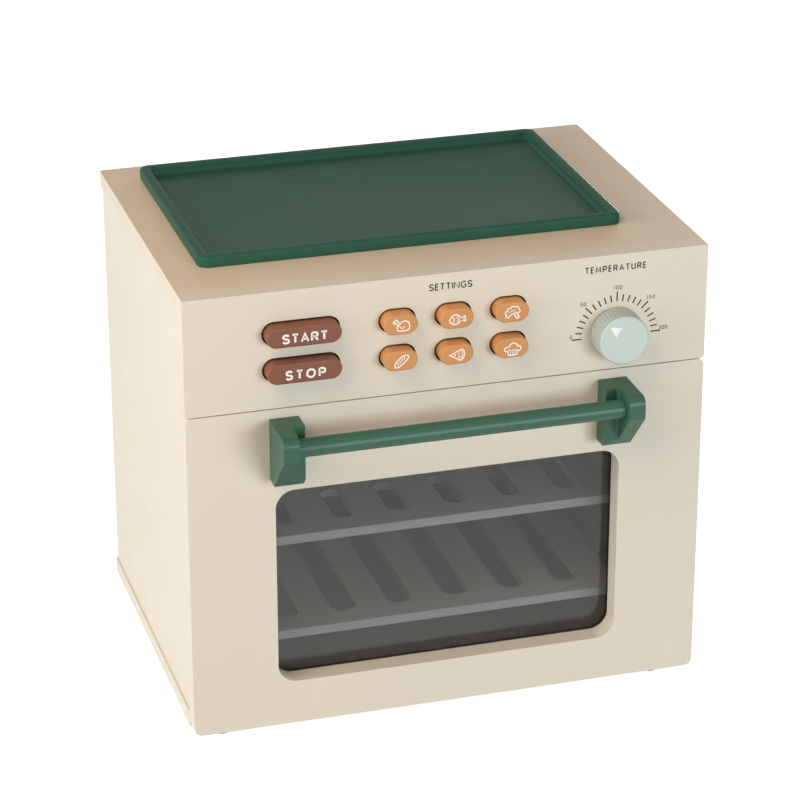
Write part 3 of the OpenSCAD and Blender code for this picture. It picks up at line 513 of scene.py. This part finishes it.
def smoked_acrylic():
    """A grey clear sheet: it tints what is behind it, and its polished face mirrors the reveal.
    Light that only passes through to light the inside is let through straight."""
    material, tree, shader = plain_material("smoked_acrylic")
    shader.inputs["Base Color"].default_value = (0.385, 0.41, 0.435, 1.0)
    shader.inputs["Transmission Weight"].default_value = 1.0
    shader.inputs["IOR"].default_value = 1.49
    polish = scaled_noise(tree, object_place(tree), 30.0, 3.0)
    tree.links.new(spread(tree, polish, 0.004, 0.012), shader.inputs["Roughness"])
    through = add(tree, "ShaderNodeBsdfTransparent")
    through.inputs["Color"].default_value = (0.53, 0.55, 0.58, 1.0)
    path = add(tree, "ShaderNodeLightPath")
    show(tree, two_shaders(tree, path.outputs["Is Shadow Ray"], shader.outputs["BSDF"],
                           through.outputs["BSDF"]))
    return material


smoked = smoked_acrylic()


# ---- The frame's own pieces: materials and eased edges ----

finishes = {
    cream_paint: ["base_panel", "left_side_panel", "right_side_panel", "control_panel",
                  "cavity_ceiling", "door_panel"],
    top_shaded_paint: ["top_panel"],
    back_board: ["back_panel"],
    shelf_paint: ["upper_shelf", "lower_shelf"],
    tray_paint: ["baking_tray"],
    handle_paint: ["handle_bar", "left_handle_bracket", "right_handle_bracket"],
    brown_paint: ["start_button", "stop_button"],
    tan_paint: ["chicken_button", "fish_button", "broccoli_button", "bread_button",
                "pizza_button", "cupcake_button"],
    knob_paint: ["temperature_knob"],
    smoked: ["window_pane"],
    gasket_rubber: ["window_gasket"],
    foot_rubber: ["rubber_feet"],
    bare_wood: ["carcass_dowels"],
    white_plastic: ["button_housing", "knob_bush", "magnet_catch_body"],
    ferrite: ["catch_magnet"],
    zinc: ["base_screws", "back_panel_screws", "foot_screws", "housing_screws", "catch_screws",
           "hinge_base_screws", "pane_screws", "handle_screws", "strike_screws",
           "hinge_door_screws", "spindle_screw", "spindle_washer"],
    hinge_steel: ["left_hinge_base_leaf", "right_hinge_base_leaf", "left_hinge_door_leaf",
                  "right_hinge_door_leaf", "hinge_pins", "strike_plate", "catch_pole_plates",
                  "knob_spindle"],
    spring_steel: ["start_springs", "stop_springs", "chicken_spring", "fish_spring",
                   "broccoli_spring", "bread_spring", "pizza_spring", "cupcake_spring"],
}
for material, names in finishes.items():
    for name in names:
        nodes[name].data.materials.clear()
        nodes[name].data.materials.append(material)


# ---- Return springs: the frame's own coils, each copied as its own piece on the cabinet ----

def return_spring(node):
    """A CAD coil spring as its own piece on the cabinet, with its own copy of the mesh, in place
    of the frame's node, which is hidden.
    """
    piece = in_scene(node.replace("_spring", "_return_spring"), nodes[node].data.copy())
    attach(piece, "cabinet")
    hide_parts(node)
    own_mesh(piece)


for joint in frame["record"]["behaviour"]["joints"]:
    for coil in joint.get("deforming_nodes", []):
        return_spring(coil["node"])


def ease_edges(node, radius, segments=3, angle=35):
    """Rounds a board's edges sharper than the angle, in degrees, by a radius in millimetres.
    Its triangles are joined into whole faces first."""
    board = nodes[node]
    weld = board.modifiers.new("join", "WELD")
    weld.merge_threshold = 1e-6
    flat = board.modifiers.new("whole faces", "DECIMATE")
    flat.decimate_type = "DISSOLVE"
    flat.angle_limit = np.radians(0.5)
    edge = board.modifiers.new("eased edges", "BEVEL")
    edge.width = radius * MM
    edge.segments = segments
    edge.limit_method = "ANGLE"
    edge.angle_limit = np.radians(angle)
    edge.use_clamp_overlap = True
    edge.harden_normals = True


for name in ("base_panel", "top_panel", "control_panel", "door_panel", "left_side_panel",
             "right_side_panel"):
    ease_edges(name, 0.8)
for name in ("upper_shelf", "lower_shelf", "cavity_ceiling", "back_panel"):
    ease_edges(name, 0.6)
for name in ("left_handle_bracket", "right_handle_bracket"):
    ease_edges(name, 0.9, 4, 20)
ease_edges("magnet_catch_body", 0.6)


# ---- Baking tray ----

def pressed_tray():
    """The tray: its section goes up the outside, over a rounded rim, down a leaning wall and
    through a cove to the floor, carried round the tray's rounded outline. Each bend is a
    quarter circle; the cove is a quarter ellipse."""
    low, high = low_high("baking_tray")
    width, depth, height = high - low
    rim, floor, foot, edge, corner, pan_corner, cove = 7.0, 2.2, 0.8, 1.8, 7.0, 2.5, 2.4
    cove_share = 0.9
    cove_height = (height - edge - floor) * cove_share
    section = [(foot + x, foot + y, corner - foot - x)
               for x, y in fan_of_arc(foot, 180, 5)[::-1]]
    section += [(edge + x, height - edge + y, corner - edge - x)
                for x, y in fan_of_arc(edge, 90, 8)[::-1]]
    section += [(rim - edge + x, height - edge + y, pan_corner + edge - x)
                for x, y in fan_of_arc(edge, 0, 8)[::-1]]
    section += [(rim + cove * (1 - np.sin(a)), floor + cove_height * (1 - np.cos(a)), pan_corner)
                for a in np.radians(np.linspace(90, 0, 8))]
    return turned_section(width, depth, section, 13), (low + high) / 2, low[2]


(points, faces), centre, bottom = pressed_tray()
points = points + [centre[0], centre[1], bottom]
tray = mesh_piece("pressed_tray", points, faces, "tray", tray_paint, 40)
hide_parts("baking_tray")


# ---- Printed words, numbers and signs ----

# Half a print's thickness in millimetres: half of it lies under the face that carries it
PRINT = 0.05


def printed_strokes(name, strokes, width, face_y, x, z, body, material):
    """A drawing of strokes as one thin solid piece. A stroke is (points, closed, width or 0)."""
    all_points, all_faces, count = [], [], 0
    for path, closed, own_width in strokes:
        points, faces = stroke_solid(path, own_width or width, -PRINT, PRINT, closed)
        all_points.append(on_front(points, x, face_y, z))
        all_faces += [[i + count for i in face] for face in faces]
        count += len(points)
    return mesh_piece(name, np.concatenate(all_points), all_faces, body, material)


def arc_path(x, y, rx, ry, start, stop, steps=14):
    """Part of an ellipse about (x, y), between two angles in degrees."""
    a = np.radians(np.linspace(start, stop, steps))
    return np.stack([x + rx * np.cos(a), y + ry * np.sin(a)], axis=1)


# A letter's width as a share of its height, its straight strokes and its curved ones, drawn in a
# box from 0 to 1 each way.
LETTERS = {
    "A": (0.86, [[[0, 0], [0.5, 1], [1, 0]], [[0.19, 0.33], [0.81, 0.33]]], []),
    "E": (0.6, [[[1, 1], [0, 1], [0, 0], [1, 0]], [[0, 0.53], [0.9, 0.53]]], []),
    "G": (0.88, [[[1, 0.17], [1, 0.47], [0.62, 0.47]]],
          [[[0.95, 0.84], [0.75, 0.97], [0.5, 1], [0.15, 0.85], [0, 0.5], [0.15, 0.15], [0.5, 0],
            [0.8, 0.04], [1, 0.17]]]),
    "I": (0.14, [[[0.5, 0], [0.5, 1]]], []),
    "M": (1.0, [[[0, 0], [0.13, 1], [0.5, 0.2], [0.87, 1], [1, 0]]], []),
    "N": (0.92, [[[0, 0], [0, 1], [1, 0], [1, 1]]], []),
    "O": (0.96, [], [arc_path(0.5, 0.5, 0.5, 0.5, 0, 360, 25)]),
    "P": (0.76, [[[0, 0], [0, 1]]],
          [[[0, 1], [0.55, 1], [0.88, 0.93], [1, 0.72], [0.88, 0.51], [0.55, 0.44], [0, 0.44]]]),
    "R": (0.78, [[[0, 0], [0, 1]], [[0.52, 0.48], [1, 0]]],
          [[[0, 1], [0.55, 1], [0.84, 0.94], [0.95, 0.74], [0.84, 0.54], [0.55, 0.48],
            [0, 0.48]]]),
    "S": (0.76, [], [[[0.95, 0.82], [0.78, 0.97], [0.5, 1], [0.17, 0.95], [0.03, 0.76],
                      [0.17, 0.58], [0.5, 0.5], [0.85, 0.42], [1, 0.23], [0.83, 0.04], [0.5, 0],
                      [0.2, 0.03], [0, 0.17]]]),
    "T": (0.76, [[[0, 1], [1, 1]], [[0.5, 1], [0.5, 0]]], []),
    "U": (0.78, [], [[[0, 1], [0, 0.6], [0.01, 0.3], [0.18, 0.06], [0.5, 0], [0.82, 0.06],
                      [0.99, 0.3], [1, 0.6], [1, 1]]]),
    "0": (0.64, [], [arc_path(0.5, 0.5, 0.5, 0.5, 0, 360, 21)]),
    "1": (0.36, [[[0.1, 0.78], [0.75, 1], [0.75, 0]]], []),
    "2": (0.58, [[[0.02, 0], [1, 0]]],
          [[[0.05, 0.82], [0.22, 0.97], [0.5, 1], [0.85, 0.9], [0.9, 0.68], [0.6, 0.38],
            [0.02, 0]]]),
    "5": (0.56, [[[0.9, 1], [0.18, 1], [0.1, 0.56]]],
          [[[0.1, 0.56], [0.5, 0.63], [0.9, 0.5], [1, 0.3], [0.85, 0.08], [0.45, 0],
            [0.02, 0.08]]]),
}


def printed_words(name, words, centre, width, height, stroke, face_y, body, material,
                  narrow=1.0):
    """Words drawn in strokes of one width, spaced so that they fill the width asked for."""
    widths = [LETTERS[letter][0] * height * narrow for letter in words]
    gap = (width - sum(widths)) / max(len(words) - 1, 1)
    strokes, x = [], -width / 2 if len(words) > 1 else -widths[0] / 2
    for letter, across in zip(words, widths):
        straight, curved = LETTERS[letter][1:]
        paths = [np.asarray(path, dtype=float) for path in straight]
        paths += [smooth_path(path, False, 4) for path in curved]
        room = np.array([max(across - stroke, 0), height - stroke])
        for path in paths:
            placed = path * room + [x + stroke / 2, (stroke - height) / 2]
            strokes.append((placed, False, 0))
        x += across + gap
    return printed_strokes(name, strokes, stroke, face_y, centre[0], centre[1], body, material)


panel_low, panel_high = low_high("control_panel")
panel_front = panel_low[1]
panel_top = panel_high[2]
start_mid, stop_mid = middle("start_button"), middle("stop_button")
button_front = low_high("start_button")[0][1]
knob_mid = middle("temperature_knob")
knob_front = low_high("temperature_knob")[0][1]

printed_words("start_word", "START", (start_mid[0] + 0.3, start_mid[2] - 0.8), 28.9, 6.4, 1.3,
              button_front, "start", print_white)
printed_words("stop_word", "STOP", (stop_mid[0] + 0.4, stop_mid[2] - 0.9), 25.8, 6.4, 1.3,
              button_front, "stop", print_white)
printed_words("settings_word", "SETTINGS", (-0.2, panel_top - 8.6), 28.1, 4.6, 0.76, panel_front,
              "cabinet", print_brown, 0.92)
printed_words("temperature_word", "TEMPERATURE", (108.0, panel_top - 8.9), 41.0, 4.4, 0.76,
              panel_front, "cabinet", print_brown, 0.88)

dial_x, dial_z = knob_mid[0] + 0.2, knob_mid[2] - 2.6
TICKS, TICKS_PER_NUMBER = 21, 5
TICK_START, SHORT_TICK_END, LONG_TICK_END = 23.2, 27.8, 29.6
ticks = []
for i in range(TICKS):
    angle = np.radians(180 - 180 / (TICKS - 1) * i)
    direction = np.array([np.cos(angle), np.sin(angle)])
    reach = SHORT_TICK_END if i % TICKS_PER_NUMBER else LONG_TICK_END
    ticks.append((np.array([direction * TICK_START, direction * reach]), False, 0))
printed_strokes("dial_ticks", ticks, 0.9, panel_front, dial_x, dial_z, "cabinet", print_brown)
for number, place, width in (("0", (-30.3, 2.1), 1.9), ("50", (-22.6, 23.6), 4.0),
                             ("100", (0.3, 32.5), 5.8), ("150", (22.6, 23.6), 5.7),
                             ("200", (31.6, 1.9), 5.9)):
    printed_words("dial_number_" + number, number, (dial_x + place[0], dial_z + place[1]), width,
                  2.8, 0.42, panel_front, "cabinet", dial_ink)

marker = np.array([[-9.7, 9.8], [-5.5, 2.7], [-2.1, 9.0]])
marker_points = np.concatenate([np.column_stack([marker, np.full(3, level)])
                                for level in (-PRINT, PRINT)])
mesh_piece("knob_marker", on_front(marker_points, knob_mid[0], knob_front, knob_mid[2]),
           [[2, 1, 0], [3, 4, 5], [0, 1, 4, 3], [1, 2, 5, 4], [2, 0, 3, 5]], "knob", print_white)


def turned(path, angle):
    """A flat path turned anticlockwise about the origin, in degrees."""
    a = np.radians(angle)
    return np.asarray(path) @ np.array([[np.cos(a), np.sin(a)], [-np.sin(a), np.cos(a)]])


def chicken_sign():
    """A roast bird: a plump body, a drumstick with a knuckle, and a wing."""
    body = smooth_path([[-2.9, -1.0], [-1.3, 1.0], [0.2, 2.5], [3.0, 3.1], [5.2, 1.9], [5.9, -0.8],
                        [5.4, -3.4], [2.6, -4.2], [-1.0, -4.2], [-3.1, -3.2]], True)
    bone = smooth_path([[-0.4, 2.2], [-2.2, 2.4], [-3.4, 4.3], [-4.6, 3.9], [-6.1, 2.7],
                        [-5.4, 1.7], [-4.2, 2.2], [-2.6, -0.4]], False)
    wing = smooth_path([[-1.1, -0.9], [-0.1, -2.2], [1.2, -2.1], [2.4, -0.9]], False)
    return [(body, True, 0), (bone, False, 0), (wing, False, 0.6)]


def fish_sign():
    """A fish facing left: a deep body, a looped tail, a gill and a fin."""
    body = smooth_path([[-6.0, -0.6], [-4.6, 1.8], [-2.2, 3.5], [0.6, 2.6], [2.9, -0.3],
                        [0.4, -3.1], [-2.4, -3.8], [-4.8, -2.7]], True)
    tail = smooth_path([[2.7, -0.2], [4.3, 1.2], [5.7, 2.1], [5.4, 0.2], [6.0, -2.0], [4.5, -1.5]],
                       True)
    gill = arc_path(-4.6, -0.3, 2.0, 2.2, -65, 65, 8)
    fin = smooth_path([[-1.0, 1.4], [0.6, 0.4], [0.9, -1.0], [-0.7, -1.7]], False)
    return [(body, True, 0), (tail, True, 0), (gill, False, 0.55), (fin, False, 0.5)]


def broccoli_sign():
    """A floret: a crown of round lobes, with a short stalk that leans to the right."""
    lobes = [(-4.2, -2.1, 1.3, 160, 330), (-4.6, 0.2, 1.4, 95, 255), (-2.9, 2.3, 1.5, 70, 215),
             (-0.3, 3.4, 1.6, 40, 170), (2.5, 3.2, 1.5, -5, 125), (3.9, 1.2, 1.3, -95, 75)]
    crown = np.concatenate([arc_path(x, y, r, r, high, low, 7)
                            for x, y, r, low, high in lobes] + [[[1.6, -0.3], [-0.9, -0.9]]])
    stalk = np.array([[0.4, -0.7], [3.0, -4.6], [4.7, -3.4], [2.4, -0.2]])
    heart = smooth_path([[-2.9, 0.2], [-1.4, 1.5], [0.2, 1.6], [1.6, 2.0]], False)
    return [(crown, True, 0.7), (stalk, False, 0), (heart, False, 0.45)]


def bread_sign():
    """A long loaf on the slant, pointed at its ends, with four cuts."""
    slant = 40
    loaf = smooth_path([[6.2, 0.2], [3.9, 2.1], [0.0, 2.6], [-3.9, 2.1], [-6.2, 0.2], [-5.0, -1.6],
                        [0.0, -2.2], [5.0, -1.6]], True)
    cuts = [(turned([[x - 0.6, -0.5], [x + 0.6, 1.3]], slant), False, 0.6)
            for x in (-3.2, -1.1, 1.0, 3.1)]
    return [(turned(loaf, slant), True, 0)] + cuts


def pizza_sign():
    """A slice: two straight sides to the tip, a curved crust and three rounds of topping."""
    crust = smooth_path([[3.4, 4.3], [4.9, 2.6], [5.2, 0.0], [4.4, -2.6], [2.6, -4.5]], False)
    inner = smooth_path([[2.4, 3.4], [3.6, 1.6], [3.8, -0.2], [3.1, -2.1], [1.7, -3.5]], False)
    rounds = [arc_path(x, y, 0.6, 0.6, 0, 330, 9)
              for x, y in ((-1.9, 0.1), (0.9, 1.1), (1.3, -1.4))]
    sides = np.array([[3.4, 4.3], [-5.8, 0.2], [2.6, -4.5]])
    return [(crust, False, 0), (inner, False, 0.5), (sides, False, 0)] + [
        (r, True, 0.4) for r in rounds]


def cupcake_sign():
    """A muffin: a high middle and a round lobe each side, over a pleated case."""
    top = smooth_path([[-3.9, -1.9], [-5.6, -1.6], [-6.1, 0.2], [-4.6, 1.4], [-3.0, 1.4],
                       [-1.6, 3.4], [0.8, 4.2], [3.0, 3.2], [3.9, 1.5], [5.6, 1.4], [6.1, -0.2],
                       [5.2, -1.7], [3.9, -1.9]], False)
    brow = smooth_path([[-3.9, -1.9], [-2.4, -0.9], [-0.9, -1.7], [0.4, -0.9], [1.9, -1.7],
                        [3.0, -1.0], [3.9, -1.9]], False)
    case = np.array([[-3.8, -1.9], [-2.9, -5.0], [2.9, -5.0], [3.8, -1.9]])
    pleats = [np.array([[x, -2.3], [x * 0.8, -4.7]]) for x in (-1.7, 0.0, 1.7)]
    return [(top, False, 0), (brow, False, 0.55), (case, False, 0)] + [
        (p, False, 0.45) for p in pleats]


SIGN_SCALE = 0.87
SIGN_STROKE = 0.78
for food, sign in (("chicken", chicken_sign), ("fish", fish_sign), ("broccoli", broccoli_sign),
                   ("bread", bread_sign), ("pizza", pizza_sign), ("cupcake", cupcake_sign)):
    mid = middle(food + "_button")
    strokes = [(np.asarray(path) * SIGN_SCALE, closed, width) for path, closed, width in sign()]
    printed_strokes(food + "_sign", strokes, SIGN_STROKE, button_front, mid[0] + 0.2, mid[2] - 0.2,
                    food, print_white)


# ---- Studio ----

def look_from(x, y, z, right, up, ahead):
    """A turn and a place: the columns are the view's right, its up and the reverse of ahead."""
    turn = Matrix((right, up, [-a for a in ahead])).transposed()
    return Matrix.Translation((x, y, z)) @ turn.to_4x4()


camera_data = bpy.data.cameras.new("camera")
camera_data.sensor_width = 36
camera_data.lens = 137.88
camera_data.clip_end = 50
camera = in_scene("camera", camera_data)
camera.matrix_world = look_from(-0.5297, -1.7831, 0.9958,
                                (0.95870948, -0.28438612, -0.000822),
                                (0.11492, 0.38493, 0.91576),
                                (0.26011266, 0.87804106, -0.4017279))
bpy.context.scene.camera = camera


def seen_not_lit(tree):
    """1 on rays from the eye, on mirrored ones and on ones through glass, else 0."""
    path = add(tree, "ShaderNodeLightPath")
    total = path.outputs["Is Camera Ray"]
    for kind in ("Is Glossy Ray", "Is Transmission Ray"):
        total = calc(tree, "MAXIMUM", total, path.outputs[kind])
    return total


def pale_ground():
    """A wide pale floor. To the eye, and in glass and gloss, a plain glow lifts it to the
    background's white; the object's shadow stays on it. From underneath it is clear."""
    half = 4.0
    points = [(x, y, 0) for x, y in ((-half, -half), (half, -half), (half, half), (-half, half))]
    mesh = bpy.data.meshes.new("floor")
    mesh.from_pydata(points, [], [(0, 1, 2, 3)])
    material, tree, shader = plain_material("floor_paper")
    shader.inputs["Base Color"].default_value = (0.72, 0.72, 0.72, 1)
    shader.inputs["Roughness"].default_value = 0.9
    shader.inputs["Specular IOR Level"].default_value = 0.1
    shader.inputs["Emission Color"].default_value = WHITE
    glow = 0.83
    tree.links.new(calc(tree, "MULTIPLY", seen_not_lit(tree), glow),
                   shader.inputs["Emission Strength"])
    underneath = add(tree, "ShaderNodeNewGeometry").outputs["Backfacing"]
    clear = add(tree, "ShaderNodeBsdfTransparent").outputs["BSDF"]
    show(tree, two_shaders(tree, underneath, shader.outputs["BSDF"], clear))
    mesh.materials.append(material)
    in_scene("floor", mesh)


pale_ground()


def soft_box(name, place, aim, size, power, colour=(1, 1, 1)):
    """A rectangular lamp at a place, turned to face the aim, in metres and watts."""
    data = bpy.data.lights.new(name, "AREA")
    data.shape = "RECTANGLE"
    data.size, data.size_y = size
    data.energy = power
    data.color = colour
    lamp = in_scene(name, data)
    lamp.location = place
    lamp.rotation_euler = (Vector(aim) - Vector(place)).to_track_quat("-Z", "Y").to_euler()


soft_box("key", (-2.5, -0.4, 0.75), (0, 0, 0.15), (1.5, 1.3), 42, (0.88, 1.0, 1.07))
soft_box("front_fill", (1.1, -2.7, 0.55), (0, 0, 0.15), (1.5, 1.0), 42, (0.92, 1.02, 1.09))
soft_box("top_glow", (-0.75, -0.6, 1.35), (0, 0, 0.25), (0.8, 0.8), 10.2, (1.0, 0.7, 0.47))
soft_box("back_fill", (1.9, 2.2, 0.5), (0, 0, 0.15), (1.2, 1.0), 38)


def studio_air():
    """White to the eye and in reflections, dimmer as light on the object."""
    world = bpy.data.worlds.new("studio")
    bpy.context.scene.world = world
    world.use_nodes = True
    tree = world.node_tree
    tree.nodes.clear()
    lit, seen = 0.15, 1.0
    backgrounds = []
    for strength in (lit, seen):
        background = add(tree, "ShaderNodeBackground")
        background.inputs["Color"].default_value = WHITE
        background.inputs["Strength"].default_value = strength
        backgrounds.append(background.outputs[0])
    end = add(tree, "ShaderNodeOutputWorld")
    tree.links.new(two_shaders(tree, seen_not_lit(tree), *backgrounds), end.inputs["Surface"])


studio_air()
bpy.context.scene.view_settings.view_transform = "Standard"
